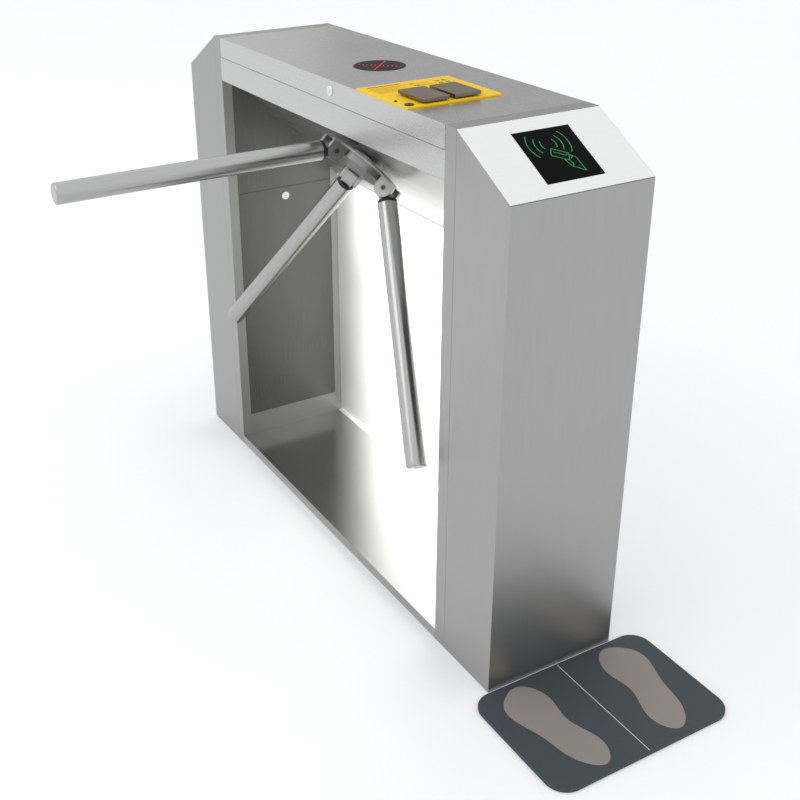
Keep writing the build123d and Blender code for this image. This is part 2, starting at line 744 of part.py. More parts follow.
for arm in range(ARMS):
    seat = along_arm(arm)
    with BuildPart() as tube:
        disc(seat.offset(ARM_START), ARM_R, ARM_LENGTH - ARM_START)
        fillet(end_face(tube, seat).edges(), 2 * ARM_WALL)
        disc(
            seat.offset(ARM_START),
            ARM_R - ARM_WALL,
            ARM_LENGTH - ARM_START - 2 * ARM_WALL,
            mode=Mode.SUBTRACT,
        )
    save(tube, f"arm_{arm + 1}_tube")
    with BuildPart() as tongue:
        tongue_half = FORK_GAP / 2 - TONGUE_SIDE
        with BuildSketch(fork(arm)):
            Circle(TONGUE_R)
        extrude(amount=tongue_half, both=True)
        with BuildSketch(seat):
            Rectangle(2 * tongue_half, 2 * TONGUE_R)
        extrude(amount=ARM_START)
        disc(seat.offset(ARM_START), ARM_R - ARM_WALL, TONGUE_PLUG)
        disc(fork(arm).offset(-FORK_GAP), PIN_R + RUN_FIT, 2 * FORK_GAP, mode=Mode.SUBTRACT)
    save(tongue, f"arm_{arm + 1}_tongue")

# ---------------------------------------------------------------- mechanism behind the slanted face
plate_back = SHEET + PLATE_THICK
pawl_pivot = Vector(PAWL_ELBOW, -PAWL_ARM).rotate(Axis.Z, PAWL_ANGLE)
stud_places = (LEVER_PIVOT, (pawl_pivot.X, pawl_pivot.Y), (-pawl_pivot.X, pawl_pivot.Y))
with BuildPart() as mechanism_plate:
    with BuildSketch(rotor.offset(-plate_back)):
        RectangleRounded(*PLATE_SIZE, PLATE_ROUND)
        Circle(SHAFT_R + SHAFT_ROOM, mode=Mode.SUBTRACT)
        with PolarLocations(SCREW_CIRCLE_R, SCREWS, start_angle=45):
            Circle(SCREW_R, mode=Mode.SUBTRACT)
    extrude(amount=PLATE_THICK)
    with BuildSketch(rotor.offset(-plate_back)):
        with Locations(*stud_places):
            Circle(STUD_R)
    extrude(amount=plate_back - STUD_BACK)
    with BuildSketch(rotor.offset(-plate_back)):
        with Locations(*stud_places):
            Circle(STUD_R + STUD_COLLAR)
    extrude(amount=plate_back - WHEEL_BACK + WHEEL_THICK)
save(mechanism_plate, "mechanism_plate")

with BuildPart() as bearing_housing:
    back = rotor.offset(-plate_back - HOUSING_LENGTH)
    disc(back, HOUSING_R, HOUSING_LENGTH)
    disc(rotor.offset(-plate_back - HOUSING_FLANGE), HOUSING_FLANGE_R, HOUSING_FLANGE)
    disc(back, BEARING_R - BEARING_SHOULDER, HOUSING_LENGTH, mode=Mode.SUBTRACT)
    disc(back, BEARING_R, BEARING_INSET + BEARING_WIDTH, mode=Mode.SUBTRACT)
    disc(
        rotor.offset(-plate_back - BEARING_INSET - BEARING_WIDTH),
        BEARING_R,
        BEARING_INSET + BEARING_WIDTH,
        mode=Mode.SUBTRACT,
    )
    with BuildSketch(rotor.offset(-plate_back)):
        with PolarLocations(SCREW_CIRCLE_R, SCREWS, start_angle=45):
            Circle(SCREW_R)
    extrude(amount=-HOUSING_FLANGE, mode=Mode.SUBTRACT)
save(bearing_housing, "bearing_housing")

with BuildPart() as bearings:
    for depth in (BEARING_INSET + BEARING_WIDTH, HOUSING_LENGTH - BEARING_INSET):
        with BuildSketch(rotor.offset(-plate_back - depth)):
            Circle(BEARING_R)
            Circle(SHAFT_R + RUN_FIT, mode=Mode.SUBTRACT)
        extrude(amount=BEARING_WIDTH)
save(bearings, "bearings")

with BuildPart() as housing_screws:
    with BuildSketch(rotor.offset(-plate_back - HOUSING_FLANGE)):
        with PolarLocations(SCREW_CIRCLE_R, SCREWS, start_angle=45):
            Circle(SCREW_R)
    extrude(amount=HOUSING_FLANGE + PLATE_THICK)
    with BuildSketch(rotor.offset(-plate_back - HOUSING_FLANGE)):
        with PolarLocations(SCREW_CIRCLE_R, SCREWS, start_angle=45):
            Circle(SCREW_R * 1.7)
            RegularPolygon(SCREW_R * 0.8, 6, mode=Mode.SUBTRACT)
    extrude(amount=-SCREW_HEAD)
save(housing_screws, "housing_screws")

with BuildPart() as index_wheel:
    with BuildSketch(rotor.offset(-WHEEL_BACK)):
        Circle(WHEEL_R)
        with PolarLocations(WHEEL_R, NOTCHES, start_angle=30):
            Circle(NOTCH_R, mode=Mode.SUBTRACT)
        Circle(SHAFT_R, mode=Mode.SUBTRACT)
    extrude(amount=WHEEL_THICK)
save(index_wheel, "index_wheel")

with BuildPart() as counter_disc:
    with BuildSketch(rotor.offset(-COUNTER_BACK)):
        Circle(COUNTER_R)
        with PolarLocations(COUNTER_R - COUNTER_SLOT[0], COUNTER_SLOTS):
            Rectangle(*COUNTER_SLOT, mode=Mode.SUBTRACT)
        Circle(SHAFT_R, mode=Mode.SUBTRACT)
    extrude(amount=COUNTER_THICK)
save(counter_disc, "counter_disc")

with BuildPart() as counter_sensor:
    post_x = -WHEEL_R - SENSOR_POST
    fork_x = post_x + SENSOR_REACH / 2
    sensor_back = COUNTER_BACK + SENSOR_GAP + SENSOR_CHEEK
    with BuildSketch(rotor.offset(-sensor_back)):
        with Locations((post_x, 0)):
            Rectangle(SENSOR_POST, SENSOR_WIDTH)
    extrude(amount=sensor_back - plate_back)
    with BuildSketch(rotor.offset(-sensor_back)):
        with Locations((fork_x, 0)):
            Rectangle(SENSOR_REACH, SENSOR_WIDTH)
    extrude(amount=COUNTER_THICK + 2 * (SENSOR_GAP + SENSOR_CHEEK))
    with BuildSketch(rotor.offset(-COUNTER_BACK - SENSOR_GAP)):
        with Locations((fork_x + SENSOR_POST / 2, 0)):
            Rectangle(SENSOR_REACH - SENSOR_POST / 2, SENSOR_WIDTH)
    extrude(amount=COUNTER_THICK + 2 * SENSOR_GAP, mode=Mode.SUBTRACT)
save(counter_sensor, "counter_sensor")


def on_rotor(point, depth):
    """Plane with its origin at a point of the rotor plane, a depth behind the slanted face."""
    return rotor.shift_origin(rotor.from_local_coords((*point, 0))).offset(-depth)


def bar(start, end, width):
    """A bar with round ends between two points of the current sketch."""
    run = Vector(*end) - Vector(*start)
    middle = (Vector(*start) + Vector(*end)) / 2
    with Locations(Location((middle.X, middle.Y, 0), (0, 0, degrees(atan2(run.Y, run.X))))):
        SlotCenterToCenter(run.length, width)


roller_at = (0.0, WHEEL_R + ROLLER_R + ROLLER_GAP)
with BuildPart() as index_lever:
    with BuildSketch(rotor.offset(-LEVER_BACK)):
        bar(LEVER_PIVOT, roller_at, LEVER_WIDTH)
        with Locations(LEVER_PIVOT):
            Circle(STUD_R + RUN_FIT, mode=Mode.SUBTRACT)
    extrude(amount=LEVER_THICK)
    disc(on_rotor(roller_at, LEVER_BACK), ROLLER_PIN_R, LEVER_BACK - WHEEL_BACK + WHEEL_THICK)
save(index_lever, "index_lever")

with BuildPart() as index_roller:
    disc(on_rotor(roller_at, WHEEL_BACK), ROLLER_R, WHEEL_THICK)
    fillet(index_roller.edges(), 0.8)
    disc(
        on_rotor(roller_at, WHEEL_BACK), ROLLER_PIN_R + RUN_FIT, WHEEL_THICK, mode=Mode.SUBTRACT
    )
save(index_roller, "index_roller")

with BuildPart() as index_spring:
    spring_base = on_rotor(LEVER_PIVOT, LEVER_BACK - LEVER_THICK - SPRING_GAP - SPRING_WIRE_R)
    with BuildLine():
        coil = Helix(
            pitch=SPRING_PITCH,
            height=SPRING_PITCH * SPRING_TURNS,
            radius=SPRING_R,
            center=spring_base.origin,
            direction=spring_base.z_dir,
        )
    with BuildSketch(Plane(origin=coil @ 0, z_dir=coil % 0)):
        Circle(SPRING_WIRE_R)
    sweep(path=coil, is_frenet=True)
save(index_spring, "index_spring")

pawl_points = (Vector(PAWL_ELBOW, 0), Vector(PAWL_REACH, 0), Vector(PAWL_ELBOW, -PAWL_ARM))
across = Plane(origin=rotor.origin, x_dir=rotor.y_dir, z_dir=rotor.x_dir)
elbow, tip, pivot = ((p.X, p.Y) for p in (v.rotate(Axis.Z, PAWL_ANGLE) for v in pawl_points))
for name in ("entry", "exit"):
    with BuildPart() as pawl:
        with BuildSketch(rotor.offset(-WHEEL_BACK + 1)):
            bar(elbow, tip, 2 * PAWL_TIP_R)
            bar(elbow, pivot, PAWL_WIDTH)
            with Locations(pivot):
                Circle(STUD_R + PAWL_EYE)
                Circle(STUD_R + RUN_FIT, mode=Mode.SUBTRACT)
        extrude(amount=WHEEL_THICK - 2)
    # it rests swung clear of the wheel
    swing_axis = Axis(rotor.from_local_coords((*pivot, 0)), rotor.z_dir)
    released = pawl.part.rotate(swing_axis, -PAWL_SWING)
    with BuildPart() as lock_pawl:
        add(released if name == "entry" else released.mirror(across))
    save(lock_pawl, f"lock_pawl_{name}")

with BuildPart() as solenoids:
    solenoid_y = sum(SOLENOID_Y) / 2
    solenoid_wide = SOLENOID_Y[1] - SOLENOID_Y[0]
    solenoid_deep = SOLENOID_X[1] - SOLENOID_X[0]
    bracket_wide = solenoid_wide - 2 * BRACKET_INSET
    for side in (-1, 1):
        with BuildSketch(rotor.offset(-WHEEL_BACK - SOLENOID_OVERHANG)):
            with Locations((side * sum(SOLENOID_X) / 2, solenoid_y)):
                RectangleRounded(solenoid_deep, solenoid_wide, SOLENOID_ROUND)
        extrude(amount=SOLENOID_LENGTH)
        with BuildSketch(rotor.offset(-WHEEL_BACK)):
            with Locations((side * (SOLENOID_X[1] - BRACKET / 2), solenoid_y)):
                Rectangle(BRACKET, bracket_wide)
        extrude(amount=WHEEL_BACK - plate_back)
        with BuildSketch(rotor.offset(-plate_back)):
            with Locations((side * (SOLENOID_X[1] - solenoid_deep / 2), solenoid_y)):
                Rectangle(solenoid_deep, bracket_wide)
        extrude(amount=-BRACKET)
save(solenoids, "solenoids")

# ---------------------------------------------------------------- electronics in the pedestals
with BuildPart() as control_board:
    board_x = half_length - SHEET - BOARD_STANDOFF
    board_z = HEIGHT / 2
    block(
        (board_x - BOARD_THICK, board_x),
        (-BOARD_WIDTH / 2, BOARD_WIDTH / 2),
        (board_z - BOARD_HEIGHT / 2, board_z + BOARD_HEIGHT / 2),
    )
    board_back = Plane(origin=(board_x, 0, board_z), x_dir=(0, 1, 0), z_dir=(1, 0, 0))
    post_span = (BOARD_WIDTH - 2 * BOARD_POST_INSET, BOARD_HEIGHT - 2 * BOARD_POST_INSET)
    with BuildSketch(board_back):
        with GridLocations(*post_span, 2, 2):
            Circle(BOARD_POST_INSET / 2)
    extrude(amount=BOARD_STANDOFF)
    # terminal rows along both ends, with the relays and the processor between them
    row_z = BOARD_HEIGHT / 2 - TERMINAL_INSET - TERMINAL[2] / 2
    for (depth, length, height), y, z in (
        (TERMINAL, 0, -row_z),
        (TERMINAL, 0, row_z),
        (RELAY, -BOARD_WIDTH / 6, 0),
        (PROCESSOR, BOARD_WIDTH / 5, 0),
    ):
        block(
            (board_x - BOARD_THICK - depth, board_x - BOARD_THICK),
            (y - length / 2, y + length / 2),
            (board_z + z - height / 2, board_z + z + height / 2),
        )
save(control_board, "control_board")

with BuildPart() as power_supply:
    supply_x = -(inner_x + half_length) / 2 + CABLE_R + SUPPLY_ROUND
    block(
        (supply_x, supply_x + SUPPLY_THICK),
        (-SUPPLY_LENGTH / 2, SUPPLY_LENGTH / 2),
        (BASE_THICK, BASE_THICK + SUPPLY_HEIGHT),
    )
    fillet(power_supply.edges().filter_by(Axis.Z), SUPPLY_ROUND)
save(power_supply, "power_supply")

# ---------------------------------------------------------------- foot mat
mat_x = half_length + MAT_GAP + MAT_DEPTH / 2


def sole(side):
    """Sole outline on the mat with the toes towards the pedestal; side is -1 or 1 across it."""
    turn = Location((mat_x, MAT_Y + side * FOOT_SPREAD, MAT_THICK), (0, 0, -side * FOOT_TURN))
    with BuildSketch(Plane(turn)) as outline:
        with BuildLine():
            Spline(
                (-FOOT_HALF, 0),
                (-FOOT_HALF * 0.66, side * (BALL_R - 1)),
                (0, side * (BALL_R - 7)),
                (FOOT_HALF * 0.72, side * HEEL_R),
                (FOOT_HALF, 0),
                (FOOT_HALF * 0.76, -side * HEEL_R),
                (0, -side * (HEEL_R - 3)),
                (-FOOT_HALF * 0.6, -side * BALL_R),
                periodic=True,
            )
        make_face()
    return outline.sketch


with BuildPart() as mat_base:
    with BuildSketch(Plane.XY):
        with Locations((mat_x, MAT_Y)):
            RectangleRounded(MAT_DEPTH, MAT_WIDTH, MAT_RADIUS)
    extrude(amount=MAT_THICK)
    chamfer(mat_base.faces().sort_by(Axis.Z)[-1].edges(), MAT_BEVEL)
    for side in (-1, 1):
        extrude(sole(side), amount=-FOOT_THICK, mode=Mode.SUBTRACT)
save(mat_base, "mat_base")

for name, side in (("left", 1), ("right", -1)):
    with BuildPart() as foot_plate:
        extrude(sole(side), amount=-FOOT_THICK)
    save(foot_plate, f"mat_{name}_foot")
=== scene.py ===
# %% [markdown]
# # A tripod turnstile with a touch tester on its lid
#
# The metal cabinet is two pedestals joined by a beam. A rotor hangs under the beam and carries
# three arms. All of these pieces come ready made from the engineering model, which fixes every
# size and every joint. Here they get their finishes, and the small things that are only looks,
# such as lamps, prints and screw heads, are added in the same frame and in metres.

import math

import bmesh
import bpy
from mathutils import Matrix, Vector


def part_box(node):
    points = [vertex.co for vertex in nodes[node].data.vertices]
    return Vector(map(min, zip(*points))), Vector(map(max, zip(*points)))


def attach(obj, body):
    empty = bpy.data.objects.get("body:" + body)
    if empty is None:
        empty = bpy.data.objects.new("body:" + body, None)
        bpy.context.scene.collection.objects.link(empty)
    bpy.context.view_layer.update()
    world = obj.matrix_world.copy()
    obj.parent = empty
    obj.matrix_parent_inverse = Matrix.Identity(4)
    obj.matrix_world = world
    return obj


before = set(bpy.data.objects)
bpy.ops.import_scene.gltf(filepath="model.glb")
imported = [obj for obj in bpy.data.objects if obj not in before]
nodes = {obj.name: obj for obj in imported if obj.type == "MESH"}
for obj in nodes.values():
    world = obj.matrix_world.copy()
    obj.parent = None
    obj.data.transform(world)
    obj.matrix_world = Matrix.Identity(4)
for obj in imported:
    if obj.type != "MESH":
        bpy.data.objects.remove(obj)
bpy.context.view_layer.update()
MM = 0.001

# %% [markdown]
# ## Camera
#
# A product shot is taken from above and to one side with a fairly long lens, so that the
# uprights lean only a little. The camera stands near the end with the mat. Its turn is built
# from a heading, a dip below the horizon and a slight roll, because those are the three things
# a tripod head sets. The shift moves the frame sideways without turning the camera.

# %% Camera
CAMERA_PLACE = Vector((1.8783, -1.1130, 1.4261))
HEADING, DIP, ROLL = 2.62995, -0.444422, -0.0138027
forward = Vector((math.cos(DIP) * math.cos(HEADING), math.cos(DIP) * math.sin(HEADING), math.sin(DIP)))
level_right = forward.cross(Vector((0, 0, 1))).normalized()
level_up = level_right.cross(forward)
right = level_right * math.cos(ROLL) + level_up * math.sin(ROLL)
up = level_up * math.cos(ROLL) - level_right * math.sin(ROLL)

camera_data = bpy.data.cameras.new("camera")
camera_data.lens = 52.2
camera_data.sensor_width = 36.0
camera_data.shift_x = 0.0546
camera_data.shift_y = -0.0584
camera = bpy.data.objects.new("camera", camera_data)
turn = Matrix((right, up, -forward)).transposed().to_4x4()
camera.matrix_world = Matrix.Translation(CAMERA_PLACE) @ turn
bpy.context.collection.objects.link(camera)
bpy.context.scene.camera = camera
bpy.context.scene.view_settings.view_transform = "Standard"
print("camera", round(CAMERA_PLACE.length, 3), "m from the origin")

# %% [markdown]
# ## Making materials
#
# A colour picked on a screen is an sRGB value, but light adds up in linear values, so one
# function turns a hex colour into linear numbers. A second one adds any node to a material,
# sets it up and plugs in its inputs, which keeps every material to a few readable lines.


# %% Colour and node helpers
def linear(code):
    """Linear colour of a six digit sRGB hex value."""
    steps = [int(code[place : place + 2], 16) / 255 for place in (0, 2, 4)]
    return (*[s / 12.92 if s <= 0.04045 else ((s + 0.055) / 1.055) ** 2.4 for s in steps], 1.0)


def add(tree, kind, inputs=None, **settings):
    """Add a node; an input is a value or another node's output socket."""
    node = tree.nodes.new(kind)
    for name, value in settings.items():
        setattr(node, name, value)
    for name, value in (inputs or {}).items():
        if isinstance(value, bpy.types.NodeSocket):
            tree.links.new(value, node.inputs[name])
        else:
            node.inputs[name].default_value = value
    return node


def new_material(name):
    """An empty node material, with its output and an Object coordinate socket."""
    material = bpy.data.materials.new(name)
    material.use_nodes = True
    tree = material.node_tree
    tree.nodes.clear()
    output = add(tree, "ShaderNodeOutputMaterial")
    place = add(tree, "ShaderNodeTexCoord").outputs["Object"]
    return material, tree, output, place


def finish_material(tree, output, **inputs):
    """Plug a Principled shader with these inputs into the output."""
    named = {name.replace("_", " "): value for name, value in inputs.items()}
    shader = add(tree, "ShaderNodeBsdfPrincipled", named)
    tree.links.new(shader.outputs["BSDF"], output.inputs["Surface"])


print("hex C8C8C8 is linear", [round(part, 3) for part in linear("C8C8C8")[:3]])

# %% [markdown]
# ## Brushed stainless sheet
#
# The cabinet is folded from stainless sheet that was ground with a belt, which leaves fine
# parallel lines. The eye reads them as streaks in the gloss, long in the belt's direction and
# a fraction of a millimetre across. A noise stretched along one direction gives them. It drives
# the roughness, a very small bump and a slight change of tone. The real lines are too fine to
# show from two metres away, so they are drawn a little coarser. A second, broad noise makes the
# reflections uneven, as rolled sheet never is quite flat. A bevel node rounds the look of the
# folded edges, which on the real cabinet have about the radius of the sheet.

# %% Ground and brushed metal
GRAIN_PITCH = 0.8 * MM  # drawn about four times coarser than the real grain
GRAIN_RUN = 90 * MM
FOLD_RADIUS = 0.9 * MM


def stretched(tree, place, direction, pitch, run):
    """Coordinates that change by 1 per pitch across a direction and by 1 per run along it."""
    direction = Vector(direction).normalized()
    along = add(tree, "ShaderNodeVectorMath", {0: place, 1: direction}, operation="DOT_PRODUCT")
    squeeze = 1 / pitch - 1 / run
    part = add(tree, "ShaderNodeMath", {0: along.outputs["Value"], 1: squeeze}, operation="MULTIPLY")
    back = add(tree, "ShaderNodeVectorMath", {0: direction, "Scale": part.outputs[0]}, operation="SCALE")
    fine = add(tree, "ShaderNodeVectorMath", {0: place, "Scale": 1 / pitch}, operation="SCALE")
    both_parts = {0: fine.outputs[0], 1: back.outputs[0]}
    return add(tree, "ShaderNodeVectorMath", both_parts, operation="SUBTRACT").outputs[0]


def spread_to(tree, value, low, high, start=0.0, end=1.0):
    """A value from start to end, mapped to run from low to high."""
    limits = {"Value": value, "From Min": start, "From Max": end, "To Min": low, "To Max": high}
    return add(tree, "ShaderNodeMapRange", limits).outputs[0]


def tone_between(tree, value, dark, light):
    """A colour between two hex values."""
    ends = {"Factor": value, 6: linear(dark), 7: linear(light)}
    return add(tree, "ShaderNodeMix", ends, data_type="RGBA").outputs[2]


def brushed(name, direction, dark, light, roughness, spread=0.06, uneven=0.02, lines=0.12):
    """Metal ground or brushed in one direction, with streaks between two tones."""
    material, tree, output, place = new_material(name)
    grain_place = stretched(tree, place, direction, GRAIN_PITCH, GRAIN_RUN)
    grain_inputs = {"Vector": grain_place, "Scale": 1.0, "Detail": 3.0}
    grain = add(tree, "ShaderNodeTexNoise", grain_inputs).outputs[0]
    broad = add(tree, "ShaderNodeTexNoise", {"Vector": place, "Scale": 3.0, "Detail": 2.0}).outputs[0]
    fine_gloss = spread_to(tree, grain, roughness - spread, roughness + spread)
    broad_gloss = spread_to(tree, broad, -uneven, uneven, 0.3, 0.7)
    gloss = add(tree, "ShaderNodeMath", {0: fine_gloss, 1: broad_gloss}, operation="ADD").outputs[0]
    rounded = add(tree, "ShaderNodeBevel", {"Radius": FOLD_RADIUS}, samples=4).outputs[0]
    scratches = {"Height": grain, "Strength": lines, "Distance": 0.05 * MM, "Normal": rounded}
    normal = add(tree, "ShaderNodeBump", scratches).outputs[0]
    tone = tone_between(tree, grain, dark, light)
    finish_material(tree, output, Base_Color=tone, Metallic=1.0, Roughness=gloss, Normal=normal)
    return material


ALONG_X, ALONG_Y, ALONG_Z = (1, 0, 0), (0, 1, 0), (0, 0, 1)
upright_sheet = brushed("brushed_steel_upright", ALONG_Z, "9E9E9C", "ACACAA", 0.38)
# Upper panels and doors face the passage; their tone, darker than the uprights', is painted shade.
shaded_inner_sheet = brushed("brushed_steel_inner", ALONG_Z, "686866", "747472", 0.30)
long_sheet = brushed("brushed_steel_beam", ALONG_X, "BCBCBA", "CACAC8", 0.28)
lid_sheet = brushed("brushed_steel_lid", ALONG_X, "BEBEBC", "CCCCCA", 0.28)
tray_sheet = brushed("brushed_steel_tray", ALONG_X, "A8A8A6", "B4B4B2", 0.2)
# The slopes are the lid's steel; their lighter tone is painted light added to the sky's own.
slope_sheet_painted_light = brushed("brushed_steel_slope", ALONG_Y, "DCDCDA", "EAEAE8", 0.32)
# The rear panel's near white tone, far above steel's own, is painted light for the beam's shade.
painted_bright_sheet = brushed("bright_steel_panel", ALONG_X, "F6F6F4", "FDFDFB", 0.56)
hinge_steel = brushed("hinge_steel", ALONG_X, "9C9C9A", "AEAEAC", 0.30)
ground_steel = brushed("ground_shaft_steel", ALONG_X, "8E8E8C", "A6A6A4", 0.22)
# The pads' warm yellowish tone is a painted reflection of the yellow plate around them.
pad_steel_painted_reflection = brushed("touch_pad_steel", ALONG_Y, "776B5D", "867A6B", 0.33)
print(len(bpy.data.materials), "brushed finishes")

# %% [markdown]
# ## Polished arm tubes
#
# The arms are welded stainless tube, polished along its length. It is smoother than the sheet,
# so long streaks of the room run down it. Each arm points its own way, so each gets its own
# grain direction, from the middle of its pivot to its tip.

# %% Arm tube finish
ARM_TILT = math.radians(45)  # between the rotor's axis and every arm
ROTOR_AXIS = Vector((0, -1, -1)).normalized()
ROTOR_UP = Vector((0, -1, 1)).normalized()
ROTOR_PLACE = Vector((0, -28.0, 808.5)) * MM
PIN_RADIUS, PIN_HEIGHT = 75.4 * MM, 34.0 * MM


def arm_frame(number):
    """Pivot, direction outwards from the rotor axis, and direction of one arm."""
    outward = Matrix.Rotation(math.radians(120 * number), 3, ROTOR_AXIS) @ ROTOR_UP
    pivot = ROTOR_PLACE + outward * PIN_RADIUS + ROTOR_AXIS * PIN_HEIGHT
    return pivot, outward, outward * math.sin(ARM_TILT) + ROTOR_AXIS * math.cos(ARM_TILT)


tube_finish = [
    brushed(f"polished_tube_{arm + 1}", arm_frame(arm)[2], "A2A2A0", "B8B8B6", 0.25, 0.05, 0.02, 0.06)
    for arm in range(3)
]
print("tube ends at", [round(v, 3) for v in arm_frame(0)[0] + arm_frame(0)[2] * 530 * MM])

# %% [markdown]
# ## Castings, plating and small metal
#
# The hub and the tongues are zinc castings with a satin plating. A casting keeps a faint orange
# peel, so a fine noise bumps it. The locks are polished chrome with a slightly uneven gloss, and
# the arm pins are plain turned steel. The hidden mechanism is zinc plated steel, whose
# passivation gives a faint yellow.

# %% Castings and plating


def grained(name, dark, light, metallic, roughness, pitch, bump=0.15, spread=0.05, **extra):
    """A finish with an even grain of one size, such as a casting, paint or moulding."""
    material, tree, output, place = new_material(name)
    noise_inputs = {"Vector": place, "Scale": 1 / pitch, "Detail": 3.0}
    noise = add(tree, "ShaderNodeTexNoise", noise_inputs).outputs[0]
    gloss = spread_to(tree, noise, roughness - spread, roughness + spread)
    rounded = add(tree, "ShaderNodeBevel", {"Radius": 0.5 * MM}, samples=4).outputs[0]
    grain = {"Height": noise, "Strength": bump, "Distance": 0.1 * MM, "Normal": rounded}
    normal = add(tree, "ShaderNodeBump", grain).outputs[0]
    tone = tone_between(tree, noise, dark, light)
    extra.update(Base_Color=tone, Metallic=metallic, Roughness=gloss, Normal=normal)
    finish_material(tree, output, **extra)
    return material


satin_casting = grained("satin_plated_casting", "A2A2A0", "AEAEAC", 1.0, 0.36, 1.5 * MM, bump=0.05)
pin_steel = grained("turned_pin_steel", "5C5C5C", "6E6E6E", 1.0, 0.3, 2 * MM, bump=0.05)
bright_chrome = grained("bright_chrome", "DADADA", "E6E6E6", 1.0, 0.09, 2.5 * MM, bump=0.03, spread=0.03)
zinc_plate = grained("zinc_plated_steel", "A79F82", "BBB59C", 1.0, 0.34, 4 * MM, bump=0.08)
cast_aluminium = grained("cast_aluminium", "9A9A98", "B0B0AE", 1.0, 0.48, 1.2 * MM, bump=0.4)
spring_wire = grained("spring_wire", "6E6E70", "86868A", 1.0, 0.3, 0.8 * MM, bump=0.1)
black_paint = grained("black_enamel_coil", "111112", "1C1C1E", 0.0, 0.38, 1.0 * MM, IOR=1.5)
print("castings and plating ready")

# %% [markdown]
# ## Plastics, enamel and rubber
#
# The tester's plate is sheet metal with a thick yellow enamel, smooth and slightly wavy. The
# socket and the boxes are black moulded ABS with a fine spark pattern. The windows are smooth
# black acrylic. Their reflection is kept weak, so that they stay black beside bright steel and
# the sign on them reads. The mat is a moulded rubber with a pebbled top, and its soles are a
# softer, paler rubber.

# %% Plastics, enamel and rubber
MOULDING_IOR = 1.53
RUBBER_IOR = 1.52
enamel = {"bump": 0.08, "IOR": 1.14}
yellow_enamel = grained("yellow_enamel", "E2B604", "ECC208", 0.0, 0.36, 6 * MM, **enamel)
pale_enamel = grained("pale_yellow_enamel", "EAD25A", "F2DE78", 0.0, 0.36, 6 * MM, **enamel)
print_ink = grained("dark_print_ink", "5A4A08", "6E5A10", 0.0, 0.55, 0.6 * MM)
spark = {"bump": 0.3, "IOR": MOULDING_IOR}
moulded_black = grained("moulded_black_abs", "0C0C0D", "161617", 0.0, 0.42, 0.7 * MM, **spark)
socket_black = grained("socket_black_nylon", "060606", "101010", 0.0, 0.3, 0.8 * MM, IOR=MOULDING_IOR)
acrylic = {"bump": 0.02, "spread": 0.03}
black_acrylic = grained("black_acrylic", "010101", "030404", 0.0, 0.09, 9 * MM, IOR=1.12, **acrylic)
smoked_lens = grained("smoked_acrylic", "0C0203", "160405", 0.0, 0.2, 7 * MM, IOR=1.1, **acrylic)
tread = {"spread": 0.08, "IOR": RUBBER_IOR}
mat_rubber = grained("mat_rubber", "2A3338", "384247", 0.0, 0.62, 1.6 * MM, bump=0.7, **tread)
sole_rubber = grained("sole_rubber", "7C746D", "8C837A", 0.0, 0.58, 1.4 * MM, bump=0.5, **tread)
smooth_rubber = {"IOR": RUBBER_IOR}
line_rubber = grained("pale_line_rubber", "AEB2B4", "C2C6C8", 0.0, 0.6, 1.4 * MM, 0.2, **smooth_rubber)
buffer_rubber = grained("buffer_rubber", "0D0D0D", "191919", 0.0, 0.55, 0.9 * MM, 0.3, **smooth_rubber)
card_steel = grained("power_supply_case", "9DA0A2", "B2B5B7", 1.0, 0.42, 3 * MM, bump=0.1)
print("plastics, enamel and rubber ready")

# %% [markdown]
# ## Circuit boards and lamps
#
# A board is green solder mask over copper tracks. Brick lines drawn at two millimetres read as
# tracks, in a slightly lighter green. A lamp glows by itself, so it gets an emission colour; a
# dark lamp is the same clear resin without it.

# %% Circuit board and lamps


def circuit_board(name):
    """Green solder mask with lighter lines for the tracks under it."""
    material, tree, output, place = new_material(name)
    upright = {"Vector": place, "Rotation": (0, math.radians(90), 0)}
    turned = add(tree, "ShaderNodeMapping", upright).outputs[0]
    tracks = {"Vector": turned, "Scale": 1.0, "Brick Width": 14 * MM, "Row Height": 2.4 * MM}
    tracks.update({"Mortar Size": 0.35 * MM, "Color1": linear("0B4A24"), "Color2": linear("0E5429")})
    tracks["Mortar"] = linear("2F8A52")
    pattern = add(tree, "ShaderNodeTexBrick", tracks)
    bump = {"Height": pattern.outputs["Fac"], "Strength": 0.2, "Distance": 0.05 * MM}
    normal = add(tree, "ShaderNodeBump", bump).outputs[0]
    mask = pattern.outputs["Color"]
    finish_material(tree, output, Base_Color=mask, Roughness=0.35, IOR=1.5, Normal=normal)
    return material


def small_lamp(name, body, glow, strength):
    """Clear resin lamp; strength 0 is a lamp that is off."""
    material, tree, output, place = new_material(name)
    noise = add(tree, "ShaderNodeTexNoise", {"Vector": place, "Scale": 1 / (2 * MM)}).outputs[0]
    tone = tone_between(tree, noise, body, glow)
    finish_material(
        tree,
        output,
        Base_Color=tone,
        Roughness=0.3,
        IOR=1.2,
        Emission_Color=linear(glow),
        Emission_Strength=strength,
    )
    return material


board_green = circuit_board("solder_mask_board")
red_lamp = small_lamp("red_lamp_lit", "8C1410", "FF2A1C", 2.2)
dark_lamp = small_lamp("red_lamp_off", "1C0405", "2A0708", 0.0)
green_line = small_lamp("green_backlit_line", "0C321A", "23884A", 0.6)
clear_lamp = small_lamp("clear_lamp_off", "B8B09A", "E8E2D0", 0.0)
print("boards and lamps ready")
